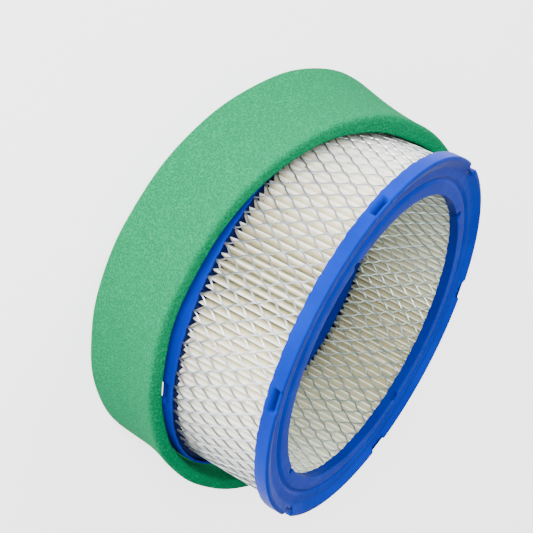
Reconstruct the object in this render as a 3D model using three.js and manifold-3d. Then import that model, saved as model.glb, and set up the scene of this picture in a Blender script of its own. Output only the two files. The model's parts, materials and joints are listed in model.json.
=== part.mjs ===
// Round air filter element for a small engine, leaning in the foam pre-cleaner sleeve that it lifts out of.
// Two moulded end caps hold an outer screen, a pleated paper ring and an inner screen between them.
// The sleeve stands on the plane z = 0 around the Z axis. Units are millimetres.
import * as THREE from 'three';
import { mergeVertices } from 'three/addons/utils/BufferGeometryUtils.js';
import Module from 'manifold-3d';

// Element
const elementHeight = 56.4;
const capRadius = 89;
const openingRadius = 70.1;
const capDepth = 6.6;
const capSegments = 96;

// Cap face, as depths below the raised lip at the rim
const landDepth = 2;
const lipInnerRadius = 86.7;
const lipOuterRadius = 88;
const lipRounding = 1;
const landOuterRadius = 83;
const grooveRadius = 77.6;
const grooveHalfWidth = 1.3;
const grooveDepth = 0.8;

// Channel in the back of a cap, where the screens and the paper are moulded in
const channelDepth = 2.8;
const channelInnerRadius = 71.2;
const channelOuterRadius = 85.6;
const seatGap = 0.3;

// Notches that the mould's locating lugs leave in a cap
const rimNotchCount = 6;
const rimNotchAngle = 50.4;
const rimNotchFloorRadius = 86.5;
const rimNotchFloorWidth = 9;
const rimNotchMouthWidth = 14;
const boreNotchCount = 4;
const boreNotchAngle = 34.8;
const rearBoreNotchAngle = 79.8;
const boreNotchDepth = 3;
const boreNotchFloorWidth = 2.4;
const boreNotchMouthWidth = 5;
const boreNotchReach = 3.4;
const cutOverrun = 3;
const rearCapTurn = -2.8;

// Screens and paper
const outerScreenRadius = 85.3;
const innerScreenRadius = 71.5;
const screenThickness = 0.4;
const screenSegments = 90;
const pleatCount = 140;
const pleatOuterRadius = 84.4;
const pleatInnerRadius = 72.4;
const pleatBand = 3;

// Foam pre-cleaner sleeve
const sleeveHeight = 48.3;
const sleeveWall = 6.2;
const sleeveRimRadius = 102.1;
const sleeveWaistRadius = 98.5;
const sleeveWaistHeight = 15.7;
const sleeveRimOval = 0.05;
const sleeveRimOvalAngle = 136;
const sleeveBaseOval = 0.034;
const sleeveBaseOvalAngle = 89;
const sleeveSegments = 72;
const sleeveSteps = 7;

// How the element leans in the sleeve
const elementLean = 12.46;
const elementBaseCentre = new THREE.Vector3(-5.2, 3.15, 25.05);

const wasm = await Module();
wasm.setup();

const radians = THREE.MathUtils.degToRad;

function toSolid(geometry) {
  const bare = geometry.clone();
  bare.deleteAttribute('normal');
  bare.deleteAttribute('uv');
  const merged = mergeVertices(bare, 1e-4);
  return new wasm.Manifold(new wasm.Mesh({
    numProp: 3,
    vertProperties: Float32Array.from(merged.attributes.position.array),
    triVerts: Uint32Array.from(merged.index.array),
  }));
}

function toGeometry(solid) {
  const mesh = solid.getMesh();
  const geometry = new THREE.BufferGeometry();
  geometry.setAttribute('position', new THREE.BufferAttribute(mesh.vertProperties, 3));
  geometry.setIndex(new THREE.BufferAttribute(mesh.triVerts, 1));
  geometry.computeVertexNormals();
  return geometry;
}

// A closed [radius, height] outline, listed anticlockwise, turned about Z.
function ring(outline, segments) {
  const points = [...outline, outline[0]].map(([radius, height]) => new THREE.Vector2(radius, height));
  const geometry = new THREE.LatheGeometry(points, segments);
  geometry.rotateX(Math.PI / 2);
  return geometry;
}

function tube(outerRadius, thickness, bottom, top) {
  const innerRadius = outerRadius - thickness;
  return ring([
    [innerRadius, bottom],
    [outerRadius, bottom],
    [outerRadius, top],
    [innerRadius, top],
  ], screenSegments);
}

// A trapezoid prism along Z, from one radius to another, centred on the angle.
function notchCutter(angle, nearRadius, nearWidth, farRadius, farWidth, bottom, top) {
  const plan = new THREE.Shape([
    new THREE.Vector2(nearRadius, -nearWidth / 2),
    new THREE.Vector2(farRadius, -farWidth / 2),
    new THREE.Vector2(farRadius, farWidth / 2),
    new THREE.Vector2(nearRadius, nearWidth / 2),
  ]);
  const geometry = new THREE.ExtrudeGeometry(plan, { depth: top - bottom, bevelEnabled: false });
  geometry.translate(0, 0, bottom);
  geometry.rotateZ(radians(angle));
  return toSolid(geometry);
}

// An end cap with its face up at z = 0 and the channel opening downwards.
function endCap(firstBoreNotch) {
  const landHeight = -landDepth;
  const channelTop = -(capDepth - channelDepth);
  const outline = [
    [openingRadius, landHeight],
    [openingRadius, -capDepth],
    [channelInnerRadius, -capDepth],
    [channelInnerRadius, channelTop],
    [channelOuterRadius, channelTop],
    [channelOuterRadius, -capDepth],
    [capRadius, -capDepth],
    [capRadius, -lipRounding],
    [lipOuterRadius, 0],
    [lipInnerRadius, 0],
    [landOuterRadius, landHeight],
    [grooveRadius + grooveHalfWidth, landHeight],
    [grooveRadius, landHeight - grooveDepth],
    [grooveRadius - grooveHalfWidth, landHeight],
  ];
  let solid = toSolid(ring(outline, capSegments));
  for (let i = 0; i < rimNotchCount; i += 1) {
    const angle = rimNotchAngle + (360 / rimNotchCount) * i;
    solid = solid.subtract(notchCutter(
      angle,
      rimNotchFloorRadius,
      rimNotchFloorWidth,
      capRadius + cutOverrun,
      rimNotchMouthWidth,
      -capDepth - cutOverrun,
      cutOverrun,
    ));
  }
  for (let i = 0; i < boreNotchCount; i += 1) {
    const angle = firstBoreNotch + (360 / boreNotchCount) * i;
    solid = solid.subtract(notchCutter(
      angle,
      openingRadius - cutOverrun,
      boreNotchMouthWidth,
      openingRadius + boreNotchDepth,
      boreNotchFloorWidth,
      -boreNotchReach,
      cutOverrun,
    ));
  }
  return solid;
}

// The pleated paper: one zigzag band closed into a ring.
function pleatedRing(bottom, top) {
  const zigzag = (tipRadius, foldRadius) => {
    const points = [];
    for (let i = 0; i < pleatCount * 2; i += 1) {
      const angle = (Math.PI * i) / pleatCount;
      const radius = i % 2 === 0 ? tipRadius : foldRadius;
      points.push(new THREE.Vector2(radius * Math.cos(angle), radius * Math.sin(angle)));
    }
    return points;
  };
  const band = new THREE.Shape(zigzag(pleatOuterRadius, pleatInnerRadius + pleatBand));
  band.holes.push(new THREE.Path(zigzag(pleatOuterRadius - pleatBand, pleatInnerRadius)));
  const geometry = new THREE.ExtrudeGeometry(band, { depth: top - bottom, bevelEnabled: false });
  geometry.translate(0, 0, bottom);
  return geometry;
}

// The sleeve's outside radius before it is made oval: straight below the waist, flared above it.
function sleeveRadius(height) {
  const flare = Math.max(0, (height - sleeveWaistHeight) / (sleeveHeight - sleeveWaistHeight));
  return sleeveWaistRadius + (sleeveRimRadius - sleeveWaistRadius) * flare * flare;
}

function sleeveRing() {
  const heights = Array.from({ length: sleeveSteps + 1 }, (_, i) => (sleeveHeight * i) / sleeveSteps);
  const outside = heights.map((height) => [sleeveRadius(height), height]);
  const inside = heights.map((height) => [sleeveRadius(height) - sleeveWall, height]).reverse();
  const geometry = ring([...outside, ...inside], sleeveSegments);
  const position = geometry.attributes.position;
  for (let i = 0; i < position.count; i += 1) {
    const angle = Math.atan2(position.getY(i), position.getX(i));
    const level = position.getZ(i) / sleeveHeight;
    const rimOval = level * sleeveRimOval * Math.cos(2 * (angle - radians(sleeveRimOvalAngle)));
    const baseOval = (1 - level) * sleeveBaseOval * Math.cos(2 * (angle - radians(sleeveBaseOvalAngle)));
    const stretch = 1 + rimOval + baseOval;
    position.setX(i, position.getX(i) * stretch);
    position.setY(i, position.getY(i) * stretch);
  }
  geometry.computeVertexNormals();
  return geometry;
}

function piece(name, geometry, colour, roughness, metalness) {
  const material = new THREE.MeshStandardMaterial({ color: colour, roughness, metalness });
  const mesh = new THREE.Mesh(geometry, material);
  mesh.name = name;
  return mesh;
}

const packBottom = capDepth - channelDepth + seatGap;
const packTop = elementHeight - packBottom;
const capBlue = 0x0b5fe0;

const frontCap = piece('front_end_cap', toGeometry(endCap(boreNotchAngle)), capBlue, 0.35, 0);
frontCap.position.z = elementHeight;

const turnedOverCap = endCap(rearBoreNotchAngle).scale([1, -1, -1]);
const rearCap = piece('rear_end_cap', toGeometry(turnedOverCap), capBlue, 0.35, 0);
rearCap.rotation.z = radians(rearCapTurn);

const outerScreen = piece(
  'outer_screen',
  tube(outerScreenRadius, screenThickness, packBottom, packTop),
  0xc9ced2,
  0.35,
  0.9,
);
const innerScreen = piece(
  'inner_screen',
  tube(innerScreenRadius + screenThickness, screenThickness, packBottom, packTop),
  0xb4bab8,
  0.35,
  0.9,
);
const paper = piece('pleated_paper', pleatedRing(packBottom, packTop), 0xe9e4cf, 0.9, 0);

const element = new THREE.Group();
element.add(frontCap, rearCap, outerScreen, innerScreen, paper);
element.position.copy(elementBaseCentre);
element.rotation.y = radians(elementLean);

const sleeve = piece('foam_precleaner', sleeveRing(), 0x4fcf95, 0.95, 0);

const filter = new THREE.Group();
filter.add(element, sleeve);

export default filter;
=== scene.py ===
"""Looks of the round air filter element and its foam pre-cleaner sleeve.

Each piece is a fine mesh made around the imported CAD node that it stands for. Shapes are worked out in
millimetres, the element's in a frame of its own (z along its axis, 0 at the rear face), and are placed in
metres from the CAD boxes.
"""

import json
import math

import bpy
import numpy as np
from mathutils import Matrix, Vector


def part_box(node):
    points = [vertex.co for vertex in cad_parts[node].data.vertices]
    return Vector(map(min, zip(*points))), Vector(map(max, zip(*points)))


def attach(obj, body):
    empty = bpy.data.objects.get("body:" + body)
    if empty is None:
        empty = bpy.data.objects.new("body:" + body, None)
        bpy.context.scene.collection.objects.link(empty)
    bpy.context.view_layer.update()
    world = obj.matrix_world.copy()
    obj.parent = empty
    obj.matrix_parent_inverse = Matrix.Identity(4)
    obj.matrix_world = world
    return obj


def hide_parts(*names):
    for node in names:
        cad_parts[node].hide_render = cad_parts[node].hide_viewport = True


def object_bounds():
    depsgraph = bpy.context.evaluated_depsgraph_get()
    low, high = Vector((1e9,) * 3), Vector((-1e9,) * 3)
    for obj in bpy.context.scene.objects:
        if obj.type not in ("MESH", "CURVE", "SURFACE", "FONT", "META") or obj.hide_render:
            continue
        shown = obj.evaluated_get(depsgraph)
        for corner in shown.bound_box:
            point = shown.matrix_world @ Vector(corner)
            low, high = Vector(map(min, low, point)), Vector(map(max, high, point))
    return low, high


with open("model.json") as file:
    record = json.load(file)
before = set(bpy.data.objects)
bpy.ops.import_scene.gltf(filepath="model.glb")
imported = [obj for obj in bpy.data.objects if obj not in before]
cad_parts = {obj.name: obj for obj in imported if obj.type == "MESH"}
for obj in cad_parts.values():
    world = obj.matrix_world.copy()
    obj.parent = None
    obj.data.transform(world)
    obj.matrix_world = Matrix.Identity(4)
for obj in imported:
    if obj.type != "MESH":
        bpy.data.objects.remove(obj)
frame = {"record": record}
cad_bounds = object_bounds()

MM = 0.001

# End caps
CAP_RADIUS = 89.0
OPENING_RADIUS = 70.1
CAP_DEPTH = 6.6
LAND_DEPTH = 2.0
LAND_INNER_RADIUS = 73.6
LAND_OUTER_RADIUS = 83.2
LIP_INNER_RADIUS = 87.0
LIP_OUTER_RADIUS = 88.2
LIP_SHOULDER = 0.45
GROOVE_RADIUS = 77.6
GROOVE_HALF_WIDTH = 1.5
GROOVE_FLOOR_HALF_WIDTH = 0.35
GROOVE_DEPTH = 0.95
CAP_SEGMENTS = 720

# Back of a cap: the poured fill between two edges, and the channel round the outer screen
BACK_INNER_RADIUS = 71.3
BACK_OUTER_RADIUS = 87.8
FILL_INNER_RADIUS = 73.2
FILL_OUTER_RADIUS = 84.4
FILL_DEPTH = 5.0
CHANNEL_INNER_RADIUS = 85.6
CHANNEL_OUTER_RADIUS = 87.3
CHANNEL_DEPTH = 4.5
EDGE_WAVE = 0.28
EDGE_WAVE_START = 5.4

# Painted shade, as a factor on a colour: 1 leaves a material's colour as it is
POURED_PAINTED_SHADE = 0.2
POURED_SHADE_INNER_RADIUS = 71.0
POURED_SHADE_REACH = 0.7
BORE_PAINTED_SHADE = 0.45
RIM_WALL_RADIUS = 88.0
STRAND_SHADE_CONTRAST = 1.5

# Notches left by the mould's locating lugs
RIM_NOTCHES = 6
RIM_NOTCH_ANGLE = 50.4
RIM_NOTCH_FLOOR = 85.2
RIM_NOTCH_REACH = 3.8
RIM_NOTCH_FLAT = 4.4
RIM_NOTCH_END = 5.6
RIM_NOTCH_ROWS = (3.4, 2.9, 2.5, 2.2, 1.9, 1.5, 1.1, 0.8)
RIM_LEDGE_STEP = 0.12
BORE_NOTCHES = 4
BORE_NOTCH_ANGLE = 34.8
REAR_BORE_NOTCH_ANGLE = 79.8
BORE_NOTCH_DEPTH = 3.0
BORE_NOTCH_REACH = 3.4
BORE_NOTCH_FLAT = 1.1
BORE_NOTCH_END = 2.4
BORE_LEDGE_STEP = 0.1
RIB_RADIUS = 87.6
RIB_DEPTH = 1.3
RIB_HALF_WIDTH = 1.0
REAR_CAP_TURN = -2.8

# Expanded metal screens: cells round, rows along the axis, the turn of a bond, a strand's curve, and which
# way the strands with painted shade lean and how dark that painted shade is
OUTER_SCREEN = dict(
    radius=85.0,
    cells=70,
    half_row=6.15,
    first_row=5.2,
    turn=146.7,
    roundness=0.8,
    plateau=0.9,
    painted_shade_side=1,
    painted_shade_level=0.46,
)
INNER_SCREEN = dict(
    radius=71.8,
    cells=60,
    half_row=6.30,
    first_row=5.6,
    turn=337.4,
    roundness=0.7,
    plateau=1.1,
    painted_shade_side=-1,
    painted_shade_level=0.7,
)
OUTER_METAL = ((0.50, 0.55, 0.60), (0.72, 0.76, 0.80))
# the inner screen is darker and greener than the outer: painted shade inside the bore and a painted
# reflection of the green foam
INNER_METAL_SHADED = ((0.27, 0.34, 0.31), (0.44, 0.51, 0.47))
STRAND_WIDTH = 0.62
STRAND_THICKNESS = 0.34
STRAND_TILT = 28.0
STRAND_STEPS = 10
STRAND_WANDER = 0.05
STRAND_WANDER_RATE = 0.11
STRAND_WANDER_SPREAD = 60
STRAND_RADIUS_WANDER = 0.8
BOND_SHARE = 0.42
SCREEN_ENDS = 4.4

# Pleated paper
PLEATS = 140
PLEAT_TIP = 84.0
PLEAT_FOLD = 72.8
PLEAT_TURN = 145.6
PAPER_THICKNESS = 0.32
PLEAT_END_PINCH = 0.18
PLEAT_END_REACH = 1.8
PLEAT_END_ROWS = (0, 0.8, 1.6, 2.6, 3.8, 5.2, 7.2, 10)
PLEAT_MIDDLE_ROWS = 7
PLEAT_MIDDLE_START = 14
PLEAT_STEPS = 12
PLEAT_BEND = 0.93
PLEAT_ROUNDNESS = 0.1
PLEAT_SWAY = 0.10
PLEAT_TIP_DROP = 0.25
PLEAT_TIP_SHARE = 0.8

# Foam sleeve
SLEEVE_WALL = 6.45
SLEEVE_WAIST_RADIUS = 98.5
SLEEVE_FLARE = 3.6
SLEEVE_WAIST_HEIGHT = 15.7
SLEEVE_RIM_OVAL = 0.05
SLEEVE_RIM_OVAL_ANGLE = 136.0
SLEEVE_BASE_OVAL = 0.034
SLEEVE_BASE_OVAL_ANGLE = 89.0
SLEEVE_RIM_WAVE = 1.35
SLEEVE_RIM_WAVE_ANGLE = 97.0
SLEEVE_OUTER_ROUNDING = 2.6
SLEEVE_INNER_ROUNDING = 1.5
SLEEVE_RIPPLE = 0.18
SLEEVE_FINE_RIPPLE = 0.12
SLEEVE_EDGE_RIPPLE = 0.15
# Where the inner side leans in: angle and reach round the rim, depth, and how closely it keeps to the rim
SLEEVE_HUGS = ((172.0, 32.0, 1.15, 4), (62.0, 24.0, 1.0, 4), (76.0, 22.0, 2.3, 8))
SLEEVE_SEGMENTS = 360
SLEEVE_LEVELS = 30

# Camera
VIEW_AZIMUTH = 139.02
VIEW_ELEVATION = 32.98
VIEW_ROLL = -126.25
VIEW_AIM = (-0.0139, 0.0163, 0.0231)
VIEW_DISTANCE = 0.6412
VIEW_LENS = 95.2
SENSOR_WIDTH = 36.0

# Stage
FLOOR_REACH = 6.0
FLOOR_GLOW = 2.2
WORLD_STRENGTH = 0.8
KEY_LIGHT = dict(azimuth=132, elevation=22, distance=1.3, size=0.6, power=31)
FILL_LIGHT = dict(azimuth=70, elevation=27, distance=1.4, size=0.8, power=11)


# --- Places ---------------------------------------------------------------------------------------

def box_centre(node):
    low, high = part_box(node)
    return (low + high) / 2


def mount_axis(name):
    for mount in frame["record"]["mounts"]:
        if mount["name"] == name:
            return Vector(mount["axis"]).normalized()
    raise ValueError(name)


ELEMENT_AXIS = mount_axis("front_seal_face")
CAP_SPAN = (box_centre("front_end_cap") - box_centre("rear_end_cap")).length / MM
ELEMENT_HEIGHT = CAP_SPAN + CAP_DEPTH


def element_matrix():
    """The element's own frame: z along its axis from the rear face, y along the row's Y."""
    z = ELEMENT_AXIS
    y = Vector((0, 1, 0))
    x = y.cross(z)
    rotation = Matrix((x, y, z)).transposed()
    base = box_centre("rear_end_cap") - z * (CAP_DEPTH / 2 * MM)
    return Matrix.Translation(base) @ rotation.to_4x4() @ Matrix.Scale(MM, 4)


# --- Mesh helpers ---------------------------------------------------------------------------------

def smooth_step(value):
    value = np.clip(value, 0, 1)
    return value * value * (3 - 2 * value)


def polar(radius, angle, height):
    return np.stack([radius * np.cos(angle), radius * np.sin(angle), height + 0 * angle], axis=-1)


def grid_faces(rows, columns, close_rows, close_columns, first=0):
    """Quads over a rows x columns grid of vertices, joined up where an edge closes."""
    i = np.arange(rows if close_rows else rows - 1)
    j = np.arange(columns if close_columns else columns - 1)
    i, j = np.meshgrid(i, j, indexing="ij")
    i_next = (i + 1) % rows
    j_next = (j + 1) % columns
    near, far = i * columns, i_next * columns
    quads = np.stack([near + j, far + j, far + j_next, near + j_next], -1)
    return quads.reshape(-1, 4) + first


def make_piece(name, points, faces, matrix, smooth=True):
    mesh = bpy.data.meshes.new(name)
    mesh.from_pydata(points.reshape(-1, 3).tolist(), [], faces.tolist())
    mesh.transform(matrix)
    mesh.update()
    if smooth:
        mesh.shade_smooth()
    piece = bpy.data.objects.new(name, mesh)
    bpy.context.scene.collection.objects.link(piece)
    return piece


def set_attribute(piece, name, values):
    attribute = piece.data.attributes.new(name, "FLOAT", "POINT")
    attribute.data.foreach_set("value", values.ravel().astype(np.float32))


def finish_piece(piece, body, node, material):
    piece.data.materials.append(material)
    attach(piece, body)
    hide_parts(node)
    return piece


def rounded_outline(corners):
    """A closed outline of (radius, height, rounding) corners, with each corner rounded by a short arc."""
    points = []
    count = len(corners)
    for i, (x, y, rounding) in enumerate(corners):
        here = np.array([x, y])
        if rounding == 0:
            points.append(here)
            continue
        before = np.array(corners[i - 1][:2]) - here
        after = np.array(corners[(i + 1) % count][:2]) - here
        start = here + before / np.linalg.norm(before) * rounding
        end = here + after / np.linalg.norm(after) * rounding
        for t in (0, 0.25, 0.5, 0.75, 1):
            points.append((1 - t) ** 2 * start + 2 * t * (1 - t) * here + t * t * end)
    return np.array(points)


# --- End caps -------------------------------------------------------------------------------------

def notch_mask(angle, first_angle, count, radius, flat, end):
    """1 across each notch's floor, falling to 0 at its ends, by distance round the rim in mm."""
    pitch = 2 * math.pi / count
    away = (angle - math.radians(first_angle) + pitch / 2) % pitch - pitch / 2
    return 1 - smooth_step((np.abs(away) * radius - flat) / (end - flat))


def end_cap(name, matrix, turn, bore_notch_angle):
    """A cap with its face at z = 0, built as one profile swept round, with the notches pushed into it."""
    back = -CAP_DEPTH
    land = -LAND_DEPTH
    bore_ledge = -BORE_NOTCH_REACH
    rim_ledge = -RIM_NOTCH_REACH
    corners = [
        (OPENING_RADIUS, bore_ledge + BORE_LEDGE_STEP, 0),
        (OPENING_RADIUS, bore_ledge - BORE_LEDGE_STEP, 0),
        (OPENING_RADIUS, back, 0.35),
        (BACK_INNER_RADIUS, back, 0.3),
        (FILL_INNER_RADIUS, -FILL_DEPTH, 0.6),
        (FILL_OUTER_RADIUS, -FILL_DEPTH, 0.2),
        (CHANNEL_INNER_RADIUS, -CHANNEL_DEPTH, 0.2),
        (CHANNEL_OUTER_RADIUS, -CHANNEL_DEPTH, 0.4),
        (BACK_OUTER_RADIUS, back, 0.3),
        (CAP_RADIUS, back, 0.85),
        (CAP_RADIUS, rim_ledge - RIM_LEDGE_STEP, 0),
        (CAP_RADIUS, rim_ledge + RIM_LEDGE_STEP, 0),
        *((CAP_RADIUS, -depth, 0) for depth in RIM_NOTCH_ROWS),
        (CAP_RADIUS, -LIP_SHOULDER, 0.3),
        (LIP_OUTER_RADIUS, 0.0, 0.35),
        (LIP_INNER_RADIUS, 0.0, 0.5),
        (LAND_OUTER_RADIUS, land, 0.8),
        (GROOVE_RADIUS + GROOVE_HALF_WIDTH, land, 0.35),
        (GROOVE_RADIUS + GROOVE_FLOOR_HALF_WIDTH, land - GROOVE_DEPTH, 0.3),
        (GROOVE_RADIUS - GROOVE_FLOOR_HALF_WIDTH, land - GROOVE_DEPTH, 0.3),
        (GROOVE_RADIUS - GROOVE_HALF_WIDTH, land, 0.35),
        (LAND_INNER_RADIUS, land, 0),
        (OPENING_RADIUS, land, 0.45),
    ]
    outline = rounded_outline(corners)
    radius, height = outline[:, 0:1], outline[:, 1:2]
    angle = np.linspace(0, 2 * math.pi, CAP_SEGMENTS, endpoint=False)[None, :]
    rim = notch_mask(angle, RIM_NOTCH_ANGLE + turn, RIM_NOTCHES, CAP_RADIUS, RIM_NOTCH_FLAT, RIM_NOTCH_END)
    bore = notch_mask(
        angle, bore_notch_angle + turn, BORE_NOTCHES, OPENING_RADIUS, BORE_NOTCH_FLAT, BORE_NOTCH_END
    )
    # rim notches, from the face down to their ledge
    rib = np.exp(-(((height + RIB_DEPTH) / RIB_HALF_WIDTH) ** 4))
    lowest = RIM_NOTCH_FLOOR + rib * (RIB_RADIUS - RIM_NOTCH_FLOOR)
    floor = CAP_RADIUS - rim * (CAP_RADIUS - lowest)
    in_rim = height > rim_ledge
    cut_radius = np.where(in_rim, np.minimum(radius, floor), radius + 0 * floor)
    lip_run = LIP_INNER_RADIUS - LAND_OUTER_RADIUS
    slope_top = -np.clip((LIP_INNER_RADIUS - floor) / lip_run * LAND_DEPTH, 0, LAND_DEPTH)
    shaved = in_rim & (radius > floor) & (height > slope_top)
    cut_height = np.where(shaved, slope_top, height + 0 * floor)
    # bore notches, from the land down to their ledge
    reach = OPENING_RADIUS + bore * BORE_NOTCH_DEPTH
    in_bore = (height > bore_ledge) & (radius <= LAND_INNER_RADIUS)
    cut_radius = np.where(in_bore, np.maximum(cut_radius, reach), cut_radius)
    # the poured urethane's back edge is a little uneven where it meets the metal
    unevenness = 0.5 * np.sin(70 * angle + 1.3) + 0.3 * np.sin(23 * angle) + 0.2 * np.sin(131 * angle + 2)
    at_back = smooth_step(-height - EDGE_WAVE_START)
    cut_height = cut_height + at_back * EDGE_WAVE * unevenness
    points = polar(cut_radius, angle + 0 * cut_radius, cut_height)
    faces = grid_faces(len(outline), CAP_SEGMENTS, True, True)
    piece = make_piece(name, points, faces, matrix)
    # painted shade: darker in the poured back, on the bore's wall and in the rim notches beside their rib
    poured = (
        (height < -FILL_DEPTH + POURED_SHADE_REACH) & (radius > POURED_SHADE_INNER_RADIUS) & (radius < BACK_OUTER_RADIUS)
    )
    painted_shade = np.where(poured, POURED_PAINTED_SHADE, np.where(radius < OPENING_RADIUS + 0.1, BORE_PAINTED_SHADE, 1.0))
    slot = in_rim & (radius > RIM_WALL_RADIUS) & (rim > 0.6) & (rib < 0.3)
    set_attribute(piece, "painted_shade", np.where(slot, BORE_PAINTED_SHADE, painted_shade))
    return piece


# --- Screens --------------------------------------------------------------------------------------

def expanded_screen(name, matrix, radius, cells, half_row, first_row, turn, roundness, plateau,
                    painted_shade_side, painted_shade_level):
    """Strands that zigzag along the axis and meet their neighbours at the bonds, as slit and stretched
    sheet metal does. Each strand is a tilted flat ribbon, and has painted shade where it leans one way."""
    strands = cells * 2
    spacing = 2 * math.pi / strands
    bottom, top = SCREEN_ENDS, ELEMENT_HEIGHT - SCREEN_ENDS
    step = half_row / STRAND_STEPS
    z = np.arange(bottom, top + step / 2, step)
    phase = (z - first_row) / half_row * math.pi
    straight = 1 - 2 * np.abs((phase / math.pi + 1) % 2 - 1)
    wave = roundness * np.cos(phase) + (1 - roundness) * straight
    swing = np.tanh(plateau * wave) / np.tanh(plateau)
    slope = np.gradient(swing, z)
    reach = spacing / 2 - STRAND_WIDTH * BOND_SHARE / radius
    generator = np.random.default_rng(int(cells))
    points = []
    faces = []
    painted_shades = []
    ribbon_corners = np.arange(4)
    tilt = math.radians(STRAND_TILT)
    for strand in range(strands):
        side = 1 if strand % 2 == 0 else -1
        wander = generator.normal(0, STRAND_WANDER, 3)
        base = math.radians(turn) + (strand + 0.5) * spacing
        drift = np.sin(z * STRAND_WANDER_RATE + wander[1] * STRAND_WANDER_SPREAD)
        angle = base + side * reach * swing + wander[0] / radius * drift
        lean = np.arctan(side * reach * radius * slope)
        out = np.stack([np.cos(angle), np.sin(angle), 0 * angle], -1)
        across = np.stack([-np.sin(angle), np.cos(angle), 0 * angle], -1)
        up = np.array([0.0, 0.0, 1.0])
        flat = across * np.cos(lean)[:, None] - up * np.sin(lean)[:, None]
        wide = flat * math.cos(tilt) + out * math.sin(tilt)
        thick = out * math.cos(tilt) - flat * math.sin(tilt)
        centre = polar(radius + wander[2] * STRAND_RADIUS_WANDER, angle, z)
        rows = []
        for a, b in ((-1, -1), (1, -1), (1, 1), (-1, 1)):
            rows.append(centre + wide * (a * STRAND_WIDTH / 2) + thick * (b * STRAND_THICKNESS / 2))
        first = len(points) * len(z) * 4
        points.append(np.stack(rows, axis=1))
        # painted shade and painted reflection: the strands that lean one way are darker
        steepness = painted_shade_side * side * slope / np.abs(slope).max()
        painted_shade = 1 - (1 - painted_shade_level) * smooth_step(0.5 + STRAND_SHADE_CONTRAST * steepness)
        painted_shades.append(np.repeat(painted_shade, 4))
        faces.append(grid_faces(len(z), 4, False, True, first))
        last = first + (len(z) - 1) * 4
        faces.append(np.array([first + ribbon_corners[::-1], last + ribbon_corners]))
    piece = make_piece(name, np.concatenate(points), np.concatenate(faces), matrix, smooth=False)
    set_attribute(piece, "painted_shade", np.concatenate(painted_shades))
    return piece


# --- Paper ----------------------------------------------------------------------------------------

def pleated_paper(name, matrix):
    """One paper band folded back and forth, each fold rounded and each pleat a little off true."""
    share = np.arange(PLEATS * PLEAT_STEPS) / PLEAT_STEPS
    generator = np.random.default_rng(7)
    middle = (PLEAT_TIP + PLEAT_FOLD) / 2
    half = (PLEAT_TIP - PLEAT_FOLD) / 2
    saw = 2 * np.abs(2 * ((share + 0.5) % 1) - 1) - 1
    rounded = np.sin(saw * math.pi / 2 * PLEAT_BEND) / math.sin(math.pi / 2 * PLEAT_BEND)
    wave = (1 - PLEAT_ROUNDNESS) * saw + PLEAT_ROUNDNESS * rounded
    bottom, top = SCREEN_ENDS, ELEMENT_HEIGHT - SCREEN_ENDS
    end_rows = np.array(PLEAT_END_ROWS)
    middle_rows = np.linspace(bottom + PLEAT_MIDDLE_START, top - PLEAT_MIDDLE_START, PLEAT_MIDDLE_ROWS)
    height = np.concatenate([bottom + end_rows, middle_rows, top - end_rows[::-1]])
    sway = generator.normal(0, PLEAT_SWAY, (PLEATS, 3))
    pleat = np.floor(share + 0.5).astype(int) % PLEATS
    tip_drop = generator.uniform(0, PLEAT_TIP_DROP, PLEATS)[pleat]
    rows = []
    for z in height:
        level = (z - height[0]) / (height[-1] - height[0])
        lean = sway[:, 0] * math.sin(level * math.pi) + sway[:, 1] * math.sin(level * 2 * math.pi)
        shift = lean[pleat] * (0.5 + 0.5 * wave)
        angle = math.radians(PLEAT_TURN) + share * 2 * math.pi / PLEATS
        from_end = min(z - bottom, top - z)
        pinch = 1 - PLEAT_END_PINCH * math.exp(-((from_end / PLEAT_END_REACH) ** 1.5))
        radius = middle + half * pinch * wave - tip_drop * (wave > PLEAT_TIP_SHARE)
        angle = angle + shift / radius
        path = np.stack([radius * np.cos(angle), radius * np.sin(angle)], -1)
        along = np.roll(path, -1, axis=0) - np.roll(path, 1, axis=0)
        along /= np.linalg.norm(along, axis=1)[:, None]
        normal = np.stack([along[:, 1], -along[:, 0]], -1)
        outer = path + normal * PAPER_THICKNESS / 2
        inner = path - normal * PAPER_THICKNESS / 2
        lift = np.full((len(path), 1), z)
        rows.append((np.hstack([outer, lift]), np.hstack([inner, lift])))
    outside = [row[0] for row in rows]
    inside = [row[1] for row in reversed(rows)]
    points = np.stack(outside + inside)
    faces = grid_faces(points.shape[0], points.shape[1], True, True)[:, ::-1]
    piece = make_piece(name, points, faces, matrix)
    set_attribute(piece, "crest", np.tile((wave + 1) / 2, len(points)))
    return piece


# --- Foam sleeve ----------------------------------------------------------------------------------

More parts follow.
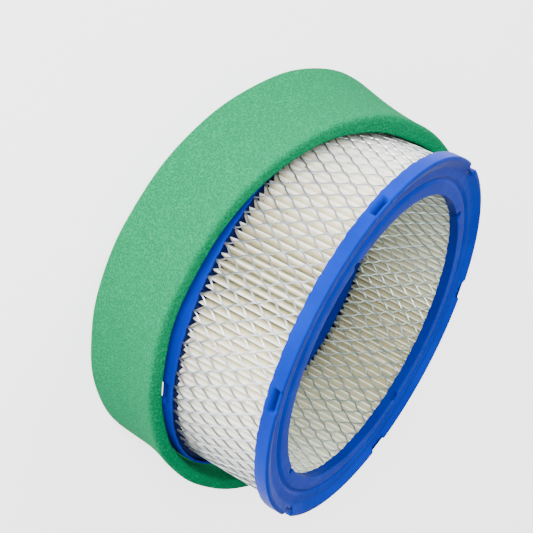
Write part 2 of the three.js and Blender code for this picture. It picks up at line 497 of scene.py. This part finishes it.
def foam_sleeve(name):
    low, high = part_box("foam_precleaner")
    height = (high.z - low.z) / MM
    levels = np.linspace(0, 1, SLEEVE_LEVELS)
    flare = np.clip((levels * height - SLEEVE_WAIST_HEIGHT) / (height - SLEEVE_WAIST_HEIGHT), 0, 1) ** 2
    outside = [(SLEEVE_WAIST_RADIUS + SLEEVE_FLARE * f, level * height) for level, f in zip(levels, flare)]
    inside = [(radius - SLEEVE_WALL, z) for radius, z in reversed(outside)]
    corners = [(*outside[0], SLEEVE_OUTER_ROUNDING)]
    corners += [(*point, 0) for point in outside[3:-3]]
    corners += [(*outside[-1], SLEEVE_OUTER_ROUNDING), (*inside[0], SLEEVE_INNER_ROUNDING)]
    corners += [(*point, 0) for point in inside[3:-3]]
    corners += [(*inside[-1], SLEEVE_INNER_ROUNDING)]
    outline = rounded_outline(corners)
    angle = np.linspace(0, 2 * math.pi, SLEEVE_SEGMENTS, endpoint=False)[None, :]
    radius, z = outline[:, 0:1], outline[:, 1:2]
    level = z / height
    rim_oval = level * SLEEVE_RIM_OVAL * np.cos(2 * (angle - math.radians(SLEEVE_RIM_OVAL_ANGLE)))
    base_oval = (1 - level) * SLEEVE_BASE_OVAL * np.cos(2 * (angle - math.radians(SLEEVE_BASE_OVAL_ANGLE)))
    wave = SLEEVE_RIM_WAVE * np.cos(2 * (angle - math.radians(SLEEVE_RIM_WAVE_ANGLE)))
    ripple = SLEEVE_RIPPLE * np.sin(9 * angle + 1.0) + SLEEVE_FINE_RIPPLE * np.sin(17 * angle + 4 * level)
    # near the rim the inner side leans in towards the rear cap's raised side and towards the screen
    middle = SLEEVE_WAIST_RADIUS + SLEEVE_FLARE * level - SLEEVE_WALL / 2
    inner_side = np.clip((middle - radius) / SLEEVE_WALL + 0.5, 0, 1)
    hug = 0 * angle
    for hug_angle, hug_reach, hug_depth, hug_power in SLEEVE_HUGS:
        nearness = np.exp(-(((np.degrees(angle) - hug_angle) / hug_reach) ** 2))
        hug = hug + hug_depth * nearness * level**hug_power
    points = polar(
        radius * (1 + rim_oval + base_oval) + ripple - hug * inner_side,
        angle + 0 * radius,
        z - wave * level * level + SLEEVE_EDGE_RIPPLE * level * np.sin(13 * angle),
    )
    centre = Vector(((low.x + high.x) / 2, (low.y + high.y) / 2, low.z))
    faces = grid_faces(len(outline), SLEEVE_SEGMENTS, True, True)[:, ::-1]
    return make_piece(name, points, faces, Matrix.Translation(centre) @ Matrix.Scale(MM, 4))


# --- Materials ------------------------------------------------------------------------------------

def material(name):
    made = bpy.data.materials.new(name)
    made.use_nodes = True
    nodes, links = made.node_tree.nodes, made.node_tree.links
    return made, nodes, links, nodes["Principled BSDF"]


def noise(nodes, links, scale, detail=3.0, roughness=0.55):
    coordinates = nodes.new("ShaderNodeTexCoord")
    texture = nodes.new("ShaderNodeTexNoise")
    texture.inputs["Scale"].default_value = scale
    texture.inputs["Detail"].default_value = detail
    texture.inputs["Roughness"].default_value = roughness
    links.new(coordinates.outputs["Object"], texture.inputs["Vector"])
    return texture.outputs["Fac"]


def ramp(nodes, links, value, stops):
    made = nodes.new("ShaderNodeValToRGB")
    made.color_ramp.elements[0].position, made.color_ramp.elements[0].color = stops[0]
    made.color_ramp.elements[1].position, made.color_ramp.elements[1].color = stops[-1]
    for position, colour in stops[1:-1]:
        made.color_ramp.elements.new(position).color = colour
    links.new(value, made.inputs["Fac"])
    return made.outputs["Color"]


def remap(nodes, links, value, low, high):
    made = nodes.new("ShaderNodeMapRange")
    made.inputs["To Min"].default_value = low
    made.inputs["To Max"].default_value = high
    links.new(value, made.inputs["Value"])
    return made.outputs["Result"]


def multiply(nodes, links, first, second):
    made = nodes.new("ShaderNodeMix")
    made.data_type = "RGBA"
    made.blend_type = "MULTIPLY"
    made.inputs["Factor"].default_value = 1.0
    links.new(first, made.inputs["A"])
    links.new(second, made.inputs["B"])
    return made.outputs["Result"]


# darkens a colour by the piece's painted shade attribute
def with_painted_shade(nodes, links, colour):
    painted_shade = nodes.new("ShaderNodeAttribute")
    painted_shade.attribute_name = "painted_shade"
    return multiply(nodes, links, colour, painted_shade.outputs["Fac"])


def bump(nodes, links, height, shader, strength, distance, below=None):
    made = nodes.new("ShaderNodeBump")
    made.inputs["Strength"].default_value = strength
    made.inputs["Distance"].default_value = distance
    links.new(height, made.inputs["Height"])
    if below is not None:
        links.new(below, made.inputs["Normal"])
    links.new(made.outputs["Normal"], shader.inputs["Normal"])
    return made.outputs["Normal"]


def urethane():
    made, nodes, links, shader = material("cap_urethane")
    clouds = noise(nodes, links, 45.0)
    colour = ramp(nodes, links, clouds, [(0.3, (0.0004, 0.018, 0.28, 1)), (0.7, (0.0008, 0.026, 0.36, 1))])
    links.new(with_painted_shade(nodes, links, colour), shader.inputs["Base Color"])
    links.new(remap(nodes, links, noise(nodes, links, 160.0), 0.40, 0.54), shader.inputs["Roughness"])
    shader.inputs["IOR"].default_value = 1.3
    shader.inputs["Specular IOR Level"].default_value = 0.12
    shader.inputs["Specular Tint"].default_value = (0.2, 0.5, 1.0, 1)
    fine = bump(nodes, links, noise(nodes, links, 900.0, 2.0), shader, 0.12, 0.0002)
    bump(nodes, links, noise(nodes, links, 110.0, 2.0), shader, 0.25, 0.0006, below=fine)
    return made


def screen_metal(name, colours):
    made, nodes, links, shader = material(name)
    clouds = noise(nodes, links, 260.0)
    dark, light = colours
    colour = ramp(nodes, links, clouds, [(0.3, (*dark, 1)), (0.7, (*light, 1))])
    links.new(with_painted_shade(nodes, links, colour), shader.inputs["Base Color"])
    shader.inputs["Metallic"].default_value = 0.85
    links.new(remap(nodes, links, noise(nodes, links, 700.0), 0.28, 0.48), shader.inputs["Roughness"])
    bump(nodes, links, noise(nodes, links, 1500.0, 2.0), shader, 0.25, 0.0001)
    return made


def filter_paper():
    made, nodes, links, shader = material("filter_paper")
    crest = nodes.new("ShaderNodeAttribute")
    crest.attribute_name = "crest"
    clouds = remap(nodes, links, noise(nodes, links, 90.0, 4.0), -0.06, 0.06)
    blend = nodes.new("ShaderNodeMath")
    links.new(crest.outputs["Fac"], blend.inputs[0])
    links.new(clouds, blend.inputs[1])
    # painted shade down the pleats' flanks, grey-green on the inner side, and painted highlight on the
    # folds, whitest on the outer crests
    colour = ramp(
        nodes, links, blend.outputs["Value"],
        [
            (0.02, (0.86, 0.88, 0.80, 1)),
            (0.09, (0.52, 0.55, 0.41, 1)),
            (0.4, (0.76, 0.72, 0.52, 1)),
            (0.75, (0.92, 0.87, 0.66, 1)),
            (0.96, (0.98, 0.98, 0.95, 1)),
        ],
    )
    grain = noise(nodes, links, 620.0, 1.0)
    specks = ramp(nodes, links, grain, [(0.23, (0.30, 0.24, 0.17, 1)), (0.26, (1, 1, 1, 1))])
    links.new(multiply(nodes, links, colour, specks), shader.inputs["Base Color"])
    links.new(remap(nodes, links, noise(nodes, links, 400.0), 0.8, 0.95), shader.inputs["Roughness"])
    bump(nodes, links, noise(nodes, links, 1400.0, 4.0), shader, 0.35, 0.0002)
    return made


def foam():
    made, nodes, links, shader = material("foam")
    coordinates = nodes.new("ShaderNodeTexCoord")
    cells = nodes.new("ShaderNodeTexVoronoi")
    cells.inputs["Scale"].default_value = 1150.0
    links.new(coordinates.outputs["Object"], cells.inputs["Vector"])
    pores = cells.outputs["Distance"]
    colour = ramp(
        nodes, links, pores,
        [
            (0.0, (0.001, 0.100, 0.038, 1)),
            (0.5, (0.001, 0.180, 0.068, 1)),
            (0.9, (0.001, 0.235, 0.092, 1)),
        ],
    )
    patches = noise(nodes, links, 60.0)
    clouds = ramp(nodes, links, patches, [(0.3, (0.97, 0.98, 0.97, 1)), (0.7, (1, 1, 1, 1))])
    links.new(multiply(nodes, links, colour, clouds), shader.inputs["Base Color"])
    links.new(remap(nodes, links, pores, 0.95, 0.85), shader.inputs["Roughness"])
    shader.inputs["Specular IOR Level"].default_value = 0.03
    bump(nodes, links, pores, shader, 0.6, 0.0005)
    return made


def plain_floor():
    made, nodes, links, shader = material("floor_white")
    clouds = noise(nodes, links, 8.0)
    colour = ramp(nodes, links, clouds, [(0.3, (0.90, 0.90, 0.90, 1)), (0.7, (0.93, 0.93, 0.93, 1))])
    links.new(colour, shader.inputs["Base Color"])
    shader.inputs["Roughness"].default_value = 0.85
    shader.inputs["Emission Color"].default_value = (1, 1, 1, 1)
    shader.inputs["Emission Strength"].default_value = FLOOR_GLOW
    return made


# --- Stage ----------------------------------------------------------------------------------------

def direction(azimuth, elevation):
    a, e = math.radians(azimuth), math.radians(elevation)
    return Vector((math.cos(a) * math.cos(e), math.sin(a) * math.cos(e), math.sin(e)))


def add_camera():
    low, high = cad_bounds
    aim = Vector(((low.x + high.x) / 2, (low.y + high.y) / 2, low.z)) + Vector(VIEW_AIM)
    back = direction(VIEW_AZIMUTH, VIEW_ELEVATION)
    data = bpy.data.cameras.new("camera")
    data.sensor_width = SENSOR_WIDTH
    data.lens = VIEW_LENS
    data.clip_start, data.clip_end = 0.01, 20
    camera = bpy.data.objects.new("camera", data)
    bpy.context.scene.collection.objects.link(camera)
    camera.location = aim + back * VIEW_DISTANCE
    level = (-back).to_track_quat("-Z", "Y").to_matrix()
    camera.rotation_euler = (level @ Matrix.Rotation(math.radians(-VIEW_ROLL), 3, "Z")).to_euler()
    bpy.context.scene.camera = camera
    return camera


def add_light(name, aim, azimuth, elevation, distance, size, power):
    data = bpy.data.lights.new(name, "AREA")
    data.shape = "DISK"
    data.size = size
    data.energy = power
    light = bpy.data.objects.new(name, data)
    bpy.context.scene.collection.objects.link(light)
    position = aim + direction(azimuth, elevation) * distance
    light.location = position
    light.rotation_euler = (aim - position).to_track_quat("-Z", "Y").to_euler()
    return light


def add_stage():
    low, high = cad_bounds
    middle = (low + high) / 2
    mesh = bpy.data.meshes.new("floor")
    corners = [
        (x * FLOOR_REACH, y * FLOOR_REACH, low.z)
        for x, y in ((-1, -1), (1, -1), (1, 1), (-1, 1))
    ]
    mesh.from_pydata(corners, [], [(0, 1, 2, 3)])
    mesh.materials.append(plain_floor())
    floor = bpy.data.objects.new("floor", mesh)
    bpy.context.scene.collection.objects.link(floor)
    world = bpy.data.worlds.new("studio")
    world.use_nodes = True
    background = world.node_tree.nodes["Background"]
    background.inputs["Color"].default_value = (1, 1, 1, 1)
    background.inputs["Strength"].default_value = WORLD_STRENGTH
    bpy.context.scene.world = world
    add_light("key", middle, **KEY_LIGHT)
    add_light("fill", middle, **FILL_LIGHT)


# --- Assembly -------------------------------------------------------------------------------------

element = element_matrix()
cap_material = urethane()

front = end_cap(
    "front_end_cap_moulding",
    element @ Matrix.Translation((0, 0, ELEMENT_HEIGHT)),
    0.0,
    BORE_NOTCH_ANGLE,
)
finish_piece(front, "cartridge", "front_end_cap", cap_material)

turned_over = Matrix.Rotation(math.pi, 4, "X")
rear = end_cap("rear_end_cap_moulding", element @ turned_over, -REAR_CAP_TURN, REAR_BORE_NOTCH_ANGLE)
finish_piece(rear, "cartridge", "rear_end_cap", cap_material)

outer = expanded_screen("outer_screen_mesh", element, **OUTER_SCREEN)
finish_piece(
    outer, "cartridge", "outer_screen",
    screen_metal("screen_metal_outer", OUTER_METAL),
)
inner = expanded_screen("inner_screen_mesh", element, **INNER_SCREEN)
finish_piece(
    inner, "cartridge", "inner_screen",
    screen_metal("screen_metal_inner_shaded", INNER_METAL_SHADED),
)

paper = pleated_paper("paper_pleats", element)
finish_piece(paper, "cartridge", "pleated_paper", filter_paper())

sleeve = foam_sleeve("foam_sleeve")
finish_piece(sleeve, "sleeve", "foam_precleaner", foam())

add_stage()
add_camera()
